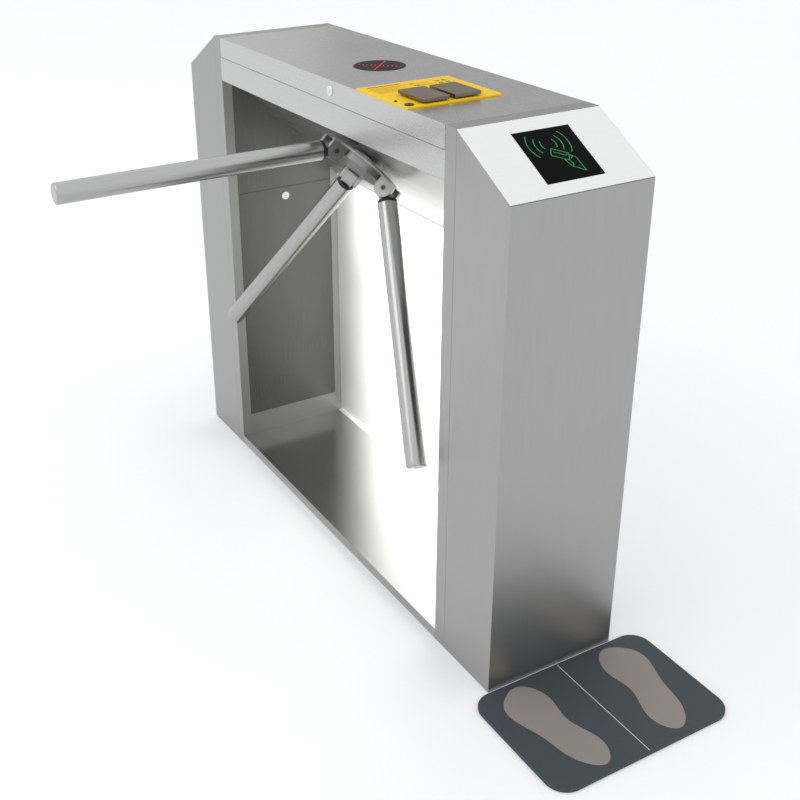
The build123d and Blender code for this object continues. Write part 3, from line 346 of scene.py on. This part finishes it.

# %% [markdown]
# ## Studio
#
# Metal shows what is around it more than the lamps themselves. The room is a plain pale floor
# under an even sky, with a few large soft panels. The sloping tops face the open sky, which
# makes them the brightest faces, and their sheet is also given a lighter tone, which is painted
# light. A panel high in front lights the floor, which the upright faces mirror, and a weak one
# lifts the floor on the left. The rear panel stands in the shade of the beam, so a third panel
# lights it alone, and its sheet is given a near white tone, which is painted light. The lid
# would mirror the sky behind the cabinet and turn white, so a grey card stands there that only
# glossy faces see.

# %% Floor, sky and soft panels
FLOOR_HALF = 14.0
floor_mesh = bpy.data.meshes.new("floor")
FLOOR_DROP = 0.5 * MM  # keeps the floor's face apart from the cabinet's base
signs = ((-1, -1), (1, -1), (1, 1), (-1, 1))
corners = [(x * FLOOR_HALF, y * FLOOR_HALF, -FLOOR_DROP) for x, y in signs]
floor_mesh.from_pydata(corners, [], [(0, 1, 2, 3)])
floor = bpy.data.objects.new("floor", floor_mesh)
bpy.context.collection.objects.link(floor)
floor_paint, tree, output, place = new_material("floor_paint")
mottle = add(tree, "ShaderNodeTexNoise", {"Vector": place, "Scale": 0.6, "Detail": 2.0})
pale = tone_between(tree, mottle.outputs[0], "EFEFEF", "F4F4F4")
finish_material(tree, output, Base_Color=pale, Roughness=0.9)
floor_mesh.materials.append(floor_paint)

sky = bpy.data.worlds.new("sky")
sky.use_nodes = True
sky.node_tree.nodes["Background"].inputs["Color"].default_value = linear("F4F6F8")
sky.node_tree.nodes["Background"].inputs["Strength"].default_value = 1.2
bpy.context.scene.world = sky


def soft_panel(name, place, aim, size, power):
    """A square area light at a place, turned to face another place."""
    data = bpy.data.lights.new(name, "AREA")
    data.shape = "SQUARE"
    data.size = size
    data.energy = power
    lamp = bpy.data.objects.new(name, data)
    turned = (Vector(aim) - Vector(place)).to_track_quat("-Z", "Y").to_matrix().to_4x4()
    lamp.matrix_world = Matrix.Translation(place) @ turned
    lamp.visible_camera = False
    bpy.context.collection.objects.link(lamp)
    return lamp


def reach_only(lamp, *names):
    """Let a lamp light only these parts, as a card beside the lamp would."""
    parts = bpy.data.collections.new(lamp.name + "_reaches")
    for name in names:
        parts.objects.link(nodes[name])
    lamp.light_linking.receiver_collection = parts


soft_panel("panel_front", (-0.6, -2.6, 3.0), (-0.5, -0.6, 0.0), 2.4, 20)
soft_panel("panel_left", (-4.0, 0.8, 2.2), (-2.5, -1.0, 0.0), 2.0, 3)
recess_lamp = soft_panel("panel_recess", (-0.75, -1.3, 0.55), (0.05, 0.13, 0.45), 1.0, 54)
reach_only(recess_lamp, "rear_panel")

CARD_HALF_LENGTH, CARD_HALF_HEIGHT = 6.0, 2.0
CARD_PLACE = Vector((-4.9, 5.8, 2.7))
card_mesh = bpy.data.meshes.new("grey_card")
corners = [(x * CARD_HALF_LENGTH, y * CARD_HALF_HEIGHT, 0) for x, y in signs]
card_mesh.from_pydata(corners, [], [(0, 1, 2, 3)])
card = bpy.data.objects.new("grey_card", card_mesh)
card_turn = (-CARD_PLACE).to_track_quat("Z", "Y").to_matrix().to_4x4()
card.matrix_world = Matrix.Translation(CARD_PLACE) @ card_turn
card_paint, tree, output, place = new_material("grey_card_glow")
glow = add(tree, "ShaderNodeEmission", {"Color": linear("B2B2B2"), "Strength": 1.0})
tree.links.new(glow.outputs[0], output.inputs["Surface"])
card_mesh.materials.append(card_paint)
card.visible_camera = card.visible_diffuse = card.visible_shadow = card.visible_transmission = False
bpy.context.collection.objects.link(card)
print("studio ready")

# %% [markdown]
# ## Dressing the ready made parts
#
# The engineering parts already have the right shape, so each only needs its finish. Parts that
# are cut from the same sheet and ground the same way share one material.

# %% Put the finishes on the frame
finished = {}


def paint(material, *names):
    """Give these parts one finish."""
    for name in names:
        mesh = nodes[name].data
        mesh.materials.clear()
        mesh.materials.append(material)
        finished[name] = material.name


def both(*names):
    """The +X and the -X part of each name."""
    return [f"{side}_{name}" for side in ("right", "left") for name in names]


paint(upright_sheet, *both("edge_frame", "cover"))
paint(shaded_inner_sheet, *both("upper_panel", "door"))
paint(lid_sheet, "lid")
paint(long_sheet, "beam_trough")
paint(tray_sheet, "floor_channel")
paint(slope_sheet_painted_light, *both("slope_panel"))
paint(painted_bright_sheet, "rear_panel")
paint(hinge_steel, "hinge_fixed_leaves", "hinge_lid_leaves", "hinge_pins")
paint(ground_steel, "rotor_shaft", "bearings", "housing_screws")
paint(pad_steel_painted_reflection, "tester_pad_front", "tester_pad_rear")
for arm in range(3):
    paint(tube_finish[arm], f"arm_{arm + 1}_tube")
    paint(satin_casting, f"arm_{arm + 1}_tongue")
paint(satin_casting, "rotor_hub")
paint(pin_steel, "clevis_pins")
paint(bright_chrome, "lid_lock_barrel", *both("door_lock_barrel"))
paint(bright_chrome, "lid_lock_cam", *both("door_lock_cam"))
paint(zinc_plate, "mechanism_plate", "index_lever", "index_roller", "index_wheel")
paint(zinc_plate, "lock_pawl_entry", "lock_pawl_exit")
paint(cast_aluminium, "bearing_housing")
paint(spring_wire, "index_spring")
paint(black_paint, "solenoids")
paint(yellow_enamel, "tester_plate")
paint(moulded_black, "tester_box", "readers", "counter_disc", "counter_sensor")
paint(socket_black, "tester_jack")
paint(black_acrylic, *both("window"))
paint(smoked_lens, "status_lens")
paint(mat_rubber, "mat_base")
paint(sole_rubber, "mat_left_foot", "mat_right_foot")
paint(card_steel, "power_supply")
paint(board_green, "status_board", "control_board")
left_over = sorted(set(nodes) - set(finished))
print(len(finished), "parts finished, left over:", left_over)

# %% [markdown]
# ## Small helpers for thin prints and plates
#
# Printed lines, a raised border and backlit signs are all thin flat shapes that lie on a face.
# One function builds such a shape as a closed slab from an outline drawn on a plane, and one
# turns a line into the outline of a ribbon with a given width.

# %% Slabs and ribbons on a plane


class Sheet:
    """A drawing plane: a place, a direction for the drawing's x, and the way it faces."""

    def __init__(self, place, x_way, normal):
        self.place = Vector(place)
        self.x_way = Vector(x_way).normalized()
        self.normal = Vector(normal).normalized()
        self.y_way = self.normal.cross(self.x_way)

    def at(self, x, y, rise=0.0):
        """A point of the plane, raised along its normal."""
        return self.place + self.x_way * x + self.y_way * y + self.normal * rise


def slab(mesh, plane, outline, thick):
    """Add a closed slab to a bmesh: an outline on the plane, raised by thick."""
    low = [mesh.verts.new(plane.at(x, y)) for x, y in outline]
    high = [mesh.verts.new(plane.at(x, y, thick)) for x, y in outline]
    count = len(outline)
    for i in range(count):
        j = (i + 1) % count
        mesh.faces.new((low[i], low[j], high[j], high[i]))
    mesh.faces.new(high)
    mesh.faces.new(low[::-1])


def ribbon(points, width):
    """Outline of a strip of one width that follows a line of points."""
    left, right_side = [], []
    for i, point in enumerate(points):
        before = Vector(points[max(i - 1, 0)])
        after = Vector(points[min(i + 1, len(points) - 1)])
        way = (after - before).normalized()
        side = Vector((-way.y, way.x)) * width / 2
        left.append(tuple(Vector(point) + side))
        right_side.append(tuple(Vector(point) - side))
    return right_side + left[::-1]


def piece(name, mesh, material, body, smooth=False):
    """Turn a bmesh into a finished piece that rides on a body."""
    bmesh.ops.recalc_face_normals(mesh, faces=mesh.faces)
    data = bpy.data.meshes.new(name)
    mesh.to_mesh(data)
    mesh.free()
    data.materials.append(material)
    if smooth:
        data.shade_smooth()
    made = bpy.data.objects.new(name, data)
    bpy.context.collection.objects.link(made)
    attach(made, body)
    return made


def arc(centre, radius, start, end, steps=12):
    """Points along an arc, with its angles in degrees."""
    turn = [math.radians(start + (end - start) * i / steps) for i in range(steps + 1)]
    return [(centre[0] + radius * math.cos(a), centre[1] + radius * math.sin(a)) for a in turn]


print("helpers ready")

# %% [markdown]
# ## Sign behind the reader windows
#
# Each sloping window shows a backlit sign when a ticket or card is wanted: waves that spread
# from the middle, and a hand's card held towards them. It is drawn here from arcs and a few
# straight strokes, a plain sign of our own. The strokes are thin slabs on the acrylic.

# %% Reader signs
PRINT_THICK = 0.12 * MM
for side_name, side in (("right", 1), ("left", -1)):
    low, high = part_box(f"{side_name}_window")
    window_top = max(nodes[f"{side_name}_window"].data.polygons, key=lambda f: f.area * f.normal.z)
    slope_normal = window_top.normal.copy()
    middle = (Vector(low) + Vector(high)) / 2
    middle += slope_normal * (window_top.center - middle).dot(slope_normal)
    window_face = Sheet(middle, (0, side, 0), slope_normal)
    sign = bmesh.new()
    centre = (-4.4 * MM, 22 * MM)
    for radius in (14, 25, 38):
        for middle_angle in (0, 180):
            wave = arc(centre, radius * MM, middle_angle - 38, middle_angle + 38)
            slab(sign, window_face, ribbon(wave, 1.5 * MM), PRINT_THICK)
    # the card, a line on it, thumb and fingers across it, and the sleeve
    strokes = (
        [(-6, 12.6), (19, -3), (11.2, -16.4), (-13.8, -0.8), (-6, 12.6)],
        [(-6, 5), (12, -6.5)],
        [(13, -3), (22, -9), (16, -14)],
        [(4, -12), (6, -22), (10, -30), (14, -24), (11, -17)],
        [(22, -9), (26, -13), (27.3, -42), (10, -30)],
    )
    for stroke in strokes:
        line = [(x * MM, y * MM) for x, y in stroke]
        for start, end in zip(line, line[1:]):
            slab(sign, window_face, ribbon([start, end], 1.4 * MM), PRINT_THICK)
    piece(f"{side_name}_window_sign", sign, green_line, "cabinet")
print("signs on two windows")

# %% [markdown]
# ## Lamp matrix under the status lens
#
# The round light on the lid is a square grid of small red lamps under a smoked lens, cut to a
# disc. Lit lamps along both diagonals make a cross, which tells a visitor to wait. The lens is
# drawn nearly opaque, so the lamps lie on its face instead of under it. Geometry Nodes suit
# this, because every lamp is the same: a grid gives the points, points outside the disc are
# dropped, and a small dome is placed on each. The same tree makes the lit and the unlit lamps,
# with one input that says which of them to keep.


# %% Lamp matrix tree
def socket_in(tree, name, kind, value):
    """Add a named input to a node group and give its default."""
    socket = tree.interface.new_socket(name=name, in_out="INPUT", socket_type=kind)
    socket.default_value = value


def dress(tree, geometry, material):
    """Give the geometry its material and send it to the group's output."""
    finish = {"Geometry": geometry, "Material": material}
    dressed = add(tree, "GeometryNodeSetMaterial", finish).outputs[0]
    add(tree, "NodeGroupOutput", {"Geometry": dressed})


def lamp_matrix_tree():
    """Grid of domes inside a disc; Lit keeps the two diagonals, or all the others."""
    tree = bpy.data.node_groups.new("lamp_matrix", "GeometryNodeTree")
    socket_in(tree, "Radius", "NodeSocketFloat", 0.045)
    socket_in(tree, "Pitch", "NodeSocketFloat", 0.005)
    socket_in(tree, "Lamp Radius", "NodeSocketFloat", 0.001)
    socket_in(tree, "Stroke", "NodeSocketFloat", 0.004)
    socket_in(tree, "Lit", "NodeSocketBool", True)
    tree.interface.new_socket(name="Material", in_out="INPUT", socket_type="NodeSocketMaterial")
    tree.interface.new_socket(name="Geometry", in_out="OUTPUT", socket_type="NodeSocketGeometry")
    given = add(tree, "NodeGroupInput").outputs
    span = add(tree, "ShaderNodeMath", {0: given["Radius"], 1: 2.0}, operation="MULTIPLY").outputs[0]
    rows = add(tree, "ShaderNodeMath", {0: span, 1: given["Pitch"]}, operation="DIVIDE").outputs[0]
    grid_inputs = {"Size X": span, "Size Y": span, "Vertices X": rows, "Vertices Y": rows}
    grid = add(tree, "GeometryNodeMeshGrid", grid_inputs).outputs["Mesh"]
    spots = add(tree, "GeometryNodeMeshToPoints", {"Mesh": grid}).outputs["Points"]
    where = add(tree, "GeometryNodeInputPosition").outputs[0]
    reach = add(tree, "ShaderNodeVectorMath", {0: where}, operation="LENGTH").outputs["Value"]
    limit = {0: reach, 1: given["Radius"]}
    inside = add(tree, "ShaderNodeMath", limit, operation="LESS_THAN").outputs[0]
    parts = add(tree, "ShaderNodeSeparateXYZ", {0: where}).outputs
    x_size = add(tree, "ShaderNodeMath", {0: parts["X"]}, operation="ABSOLUTE").outputs[0]
    y_size = add(tree, "ShaderNodeMath", {0: parts["Y"]}, operation="ABSOLUTE").outputs[0]
    off_diagonal = add(tree, "ShaderNodeMath", {0: x_size, 1: y_size}, operation="SUBTRACT").outputs[0]
    distance = add(tree, "ShaderNodeMath", {0: off_diagonal}, operation="ABSOLUTE").outputs[0]
    limit = {0: distance, 1: given["Stroke"]}
    on_cross = add(tree, "ShaderNodeMath", limit, operation="LESS_THAN").outputs[0]
    choice = {0: on_cross, 1: given["Lit"]}
    wanted = add(tree, "FunctionNodeBooleanMath", choice, operation="XNOR").outputs[0]
    keep = add(tree, "FunctionNodeBooleanMath", {0: inside, 1: wanted}, operation="AND").outputs[0]
    dome_inputs = {"Segments": 8, "Rings": 4, "Radius": given["Lamp Radius"]}
    dome = add(tree, "GeometryNodeMeshUVSphere", dome_inputs).outputs["Mesh"]
    flat = add(tree, "GeometryNodeTransform", {"Geometry": dome, "Scale": (1, 1, 0.2)}).outputs[0]
    placed = {"Points": spots, "Selection": keep, "Instance": flat}
    lamps = add(tree, "GeometryNodeInstanceOnPoints", placed).outputs[0]
    real = add(tree, "GeometryNodeRealizeInstances", {"Geometry": lamps}).outputs[0]
    dress(tree, real, given["Material"])
    return tree


def grown(name, tree, inputs, place, body):
    """Run a Geometry Nodes tree, keep its result as a plain mesh at a place, and ride it."""
    seed_mesh = bpy.data.meshes.new(name + "_seed")
    source = bpy.data.objects.new(name + "_source", seed_mesh)
    bpy.context.collection.objects.link(source)
    modifier = source.modifiers.new("grow", "NODES")
    modifier.node_group = tree
    for item in tree.interface.items_tree:
        if item.name in inputs and item.in_out == "INPUT":
            modifier[item.identifier] = inputs[item.name]
    result = source.evaluated_get(bpy.context.evaluated_depsgraph_get())
    data = bpy.data.meshes.new_from_object(result)
    data.name = name
    data.transform(place)
    bpy.data.objects.remove(source)
    made = bpy.data.objects.new(name, data)
    bpy.context.collection.objects.link(made)
    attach(made, body)
    print(name, len(data.polygons), "faces")
    return made


matrix_tree = lamp_matrix_tree()
lens_top = Matrix.Translation((0, 0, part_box("status_lens")[1][2]))
MATRIX_RADIUS = 45 * MM
LAMP_PITCH = 5.2 * MM
for name, lit, resin in (("status_lamps_lit", True, red_lamp), ("status_lamps_off", False, dark_lamp)):
    sizes = {
        "Radius": MATRIX_RADIUS,
        "Pitch": LAMP_PITCH,
        "Lamp Radius": 1.2 * MM,
        "Stroke": LAMP_PITCH * 0.8,
        "Lit": lit,
        "Material": resin,
    }
    grown(name, matrix_tree, sizes, lens_top, "lid")

# %% [markdown]
# ## Prints and lamps on the tester plate
#
# The yellow plate has a pale border along its edge and fine printed rules and boxes, which on
# the real one hold the directions for use. No words are drawn, only plain lines and frames. Two
# small lamps sit beside the socket.

# %% Tester prints
plate_low, plate_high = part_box("tester_plate")
plate_face = Sheet((plate_low[0], plate_low[1], plate_high[2]), (1, 0, 0), (0, 0, 1))
plate_x = plate_high[0] - plate_low[0]
plate_y = plate_high[1] - plate_low[1]


def frame_outline(mesh, plane, x0, y0, x1, y1, width, thick):
    """Four strips that make a rectangular frame."""
    strips = (
        (x0, y0, x1, y0 + width),
        (x0, y1 - width, x1, y1),
        (x0, y0 + width, x0 + width, y1 - width),
        (x1 - width, y0 + width, x1, y1 - width),
    )
    for left, front, right_end, rear in strips:
        slab(mesh, plane, [(left, front), (right_end, front), (right_end, rear), (left, rear)], thick)


border = bmesh.new()
EDGE = 3 * MM
frame_outline(border, plate_face, EDGE, EDGE, plate_x - EDGE, plate_y - EDGE, 1.6 * MM, PRINT_THICK)
piece("tester_border", border, pale_enamel, "lid")

prints = bmesh.new()


def print_bar(x0, y0, x1, y1):
    """One printed bar on the plate, in millimetres from its -X front corner."""
    outline = [(x0 * MM, y0 * MM), (x1 * MM, y0 * MM), (x1 * MM, y1 * MM), (x0 * MM, y1 * MM)]
    slab(prints, plate_face, outline, PRINT_THICK)


print_bar(10, 18, 14, 82)  # heading bar beside the -X edge
for row, length in enumerate((74, 58, 66, 48, 70, 54)):
    print_bar(22 + row * 7, 14, 23.2 + row * 7, 14 + length)
for row in range(3):
    print_bar(24 + row * 8, 108, 25.2 + row * 8, 132)
BOX_SIDE = 8  # small printed boxes, in millimetres like the bars
for x, y in ((20, 96), (34, 98), (22, 146), (36, 146), (22, 160), (36, 160)):
    x0, y0, x1, y1 = (value * MM for value in (x, y, x + BOX_SIDE, y + BOX_SIDE))
    frame_outline(prints, plate_face, x0, y0, x1, y1, 2.4 * MM, PRINT_THICK)
piece("tester_prints", prints, print_ink, "lid")


def dome(mesh, centre, radius, height, rings=5, steps=20):
    """Add a closed low dome that stands on a horizontal face."""
    circles = []
    for ring in range(rings):
        turn = math.pi / 2 * ring / rings
        r, z = radius * math.cos(turn), height * math.sin(turn)
        level = Vector(centre) + Vector((0, 0, z))
        angles = [2 * math.pi * i / steps for i in range(steps)]
        spots = [level + Vector((math.cos(a), math.sin(a), 0)) * r for a in angles]
        circles.append([mesh.verts.new(spot) for spot in spots])
    top = mesh.verts.new((centre[0], centre[1], centre[2] + height))
    for inner, outer in zip(circles[1:], circles):
        for i in range(steps):
            j = (i + 1) % steps
            mesh.faces.new((outer[i], outer[j], inner[j], inner[i]))
    for i in range(steps):
        mesh.faces.new((circles[-1][i], circles[-1][(i + 1) % steps], top))
    mesh.faces.new(circles[0][::-1])


jack_low, jack_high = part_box("tester_jack")
LAMP_STEP = 12 * MM  # from the socket to the first lamp, and on to the second
LAMP_RADIUS, LAMP_RISE = 3 * MM, 2.2 * MM
lamp_y = (jack_low[1] + jack_high[1]) / 2 - 6 * MM
for number, resin in enumerate((clear_lamp, dark_lamp)):
    lamp_mesh = bmesh.new()
    lamp_x = jack_low[0] - LAMP_STEP * (number + 1)
    dome(lamp_mesh, (lamp_x, lamp_y, plate_high[2]), LAMP_RADIUS, LAMP_RISE)
    piece(f"tester_lamp_{number + 1}", lamp_mesh, resin, "lid", smooth=True)
print("tester prints and lamps ready")

# %% [markdown]
# ## Rubber buffers at the arm roots
#
# Where each tube meets its fork, a black rubber ring takes up the knock when the arm is lifted
# back into place. It is a short ring around the tongue, chamfered on its outside, and it turns
# with the arm. It runs on to where the tube starts, so its black also fills the gap there, which
# stands in shade; that part of it is painted shade.

# %% Arm buffers
RING_STEPS = 40
# The black ring's length out to the tube start is partly painted shade for the gap there.
# radius and distance from the pivot, in millimetres
RING_PROFILE = ((15.0, 18.8), (17.4, 18.8), (18.2, 19.6), (18.2, 25.2), (17.4, 26.0), (15.0, 26.0))
for arm in range(3):
    pivot, outward, way = arm_frame(arm)
    across = way.cross(outward).normalized()
    rise = way.cross(across)
    ring = bmesh.new()
    loops = []
    for radius, reach in RING_PROFILE:
        loop = []
        for i in range(RING_STEPS):
            angle = 2 * math.pi * i / RING_STEPS
            spoke = across * math.cos(angle) + rise * math.sin(angle)
            loop.append(ring.verts.new(pivot + way * reach * MM + spoke * radius * MM))
        loops.append(loop)
    for inner, outer in zip(loops, loops[1:] + loops[:1]):
        for i in range(RING_STEPS):
            j = (i + 1) % RING_STEPS
            ring.faces.new((inner[i], inner[j], outer[j], outer[i]))
    piece(f"arm_{arm + 1}_buffer", ring, buffer_rubber, f"arm_{arm + 1}", smooth=True)
print("three buffers")

# %% [markdown]
# ## Line across the mat
#
# A pale line parts the mat, one foot to each side. It is a thin strip let into the rubber.

# %% Mat line
mat_low, mat_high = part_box("mat_base")
mat_face = Sheet((mat_low[0], (mat_low[1] + mat_high[1]) / 2, mat_high[2]), (1, 0, 0), (0, 0, 1))
mat_depth = mat_high[0] - mat_low[0]
LINE_INSET, LINE_WIDTH = 4 * MM, 1.6 * MM
line_mesh = bmesh.new()
line = ribbon([(LINE_INSET, 0), (mat_depth - LINE_INSET, 0)], LINE_WIDTH)
slab(line_mesh, mat_face, line, PRINT_THICK)
piece("mat_line", line_mesh, line_rubber, "cabinet")
print("mat line", round((mat_depth - 2 * LINE_INSET) / MM), "mm long")

# %% [markdown]
# ## Countersunk screws in the hinges
#
# Each hinge leaf is held by four countersunk screws. They are all alike and stand in a row, so
# Geometry Nodes place one head on each point of a line. The head is a low disc, and a shallow
# six-sided socket is cut in its middle.

# %% Hinge screws


def screw_row_tree():
    """Low round heads on a line of points along X."""
    tree = bpy.data.node_groups.new("screw_row", "GeometryNodeTree")
    socket_in(tree, "Count", "NodeSocketInt", 4)
    socket_in(tree, "Pitch", "NodeSocketFloat", 0.02)
    socket_in(tree, "Head Radius", "NodeSocketFloat", 0.003)
    socket_in(tree, "Head Rise", "NodeSocketFloat", 0.0004)
    tree.interface.new_socket(name="Material", in_out="INPUT", socket_type="NodeSocketMaterial")
    tree.interface.new_socket(name="Geometry", in_out="OUTPUT", socket_type="NodeSocketGeometry")
    given = add(tree, "NodeGroupInput").outputs
    step = add(tree, "ShaderNodeCombineXYZ", {"X": given["Pitch"]}).outputs[0]
    row = add(tree, "GeometryNodeMeshLine", {"Count": given["Count"], "Offset": step}).outputs[0]
    head_inputs = {"Vertices": 20, "Radius": given["Head Radius"], "Depth": given["Head Rise"]}
    head = add(tree, "GeometryNodeMeshCylinder", head_inputs).outputs["Mesh"]
    socket_inputs = {"Vertices": 6, "Radius": 0.0012, "Depth": 0.0001}
    recess = add(tree, "GeometryNodeMeshCylinder", socket_inputs).outputs["Mesh"]
    lift = add(tree, "ShaderNodeMath", {0: given["Head Rise"], 1: 0.5}, operation="MULTIPLY").outputs[0]
    shift = add(tree, "ShaderNodeCombineXYZ", {"Z": lift}).outputs[0]
    raised = add(tree, "GeometryNodeTransform", {"Geometry": recess, "Translation": shift}).outputs[0]
    pair = {"Mesh 1": head, "Mesh 2": raised}
    cut = add(tree, "GeometryNodeMeshBoolean", pair, operation="DIFFERENCE")
    placed = {"Points": row, "Instance": cut.outputs["Mesh"]}
    heads = add(tree, "GeometryNodeInstanceOnPoints", placed).outputs[0]
    real = add(tree, "GeometryNodeRealizeInstances", {"Geometry": heads}).outputs[0]
    dress(tree, real, given["Material"])
    return tree


screw_tree = screw_row_tree()
HINGE_SPOTS = (-300 * MM, 0.0, 300 * MM)
SCREW_COUNT = 4
SCREW_PITCH = 20 * MM
LEAF_THICK = 1.2 * MM
LID_ROW_HEIGHT, CABINET_ROW_HEIGHT = 957 * MM, 923 * MM
row_start = -SCREW_PITCH * (SCREW_COUNT - 1) / 2
leaf_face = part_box("rear_panel")[1][1] + LEAF_THICK
turn_out = Matrix.Rotation(math.radians(-90), 4, "X")
screw_sizes = {
    "Count": SCREW_COUNT,
    "Pitch": SCREW_PITCH,
    "Head Radius": 3.2 * MM,
    "Head Rise": 0.8 * MM,
    "Material": bright_chrome,
}
leaves = (
    ("hinge_lid_leaves", "lid", LID_ROW_HEIGHT),
    ("hinge_fixed_leaves", "cabinet", CABINET_ROW_HEIGHT),
)
for leaf, body, z in leaves:
    for number, x in enumerate(HINGE_SPOTS):
        spot = Matrix.Translation((x + row_start, leaf_face, z)) @ turn_out
        grown(f"{leaf}_screws_{number + 1}", screw_tree, screw_sizes, spot, body)
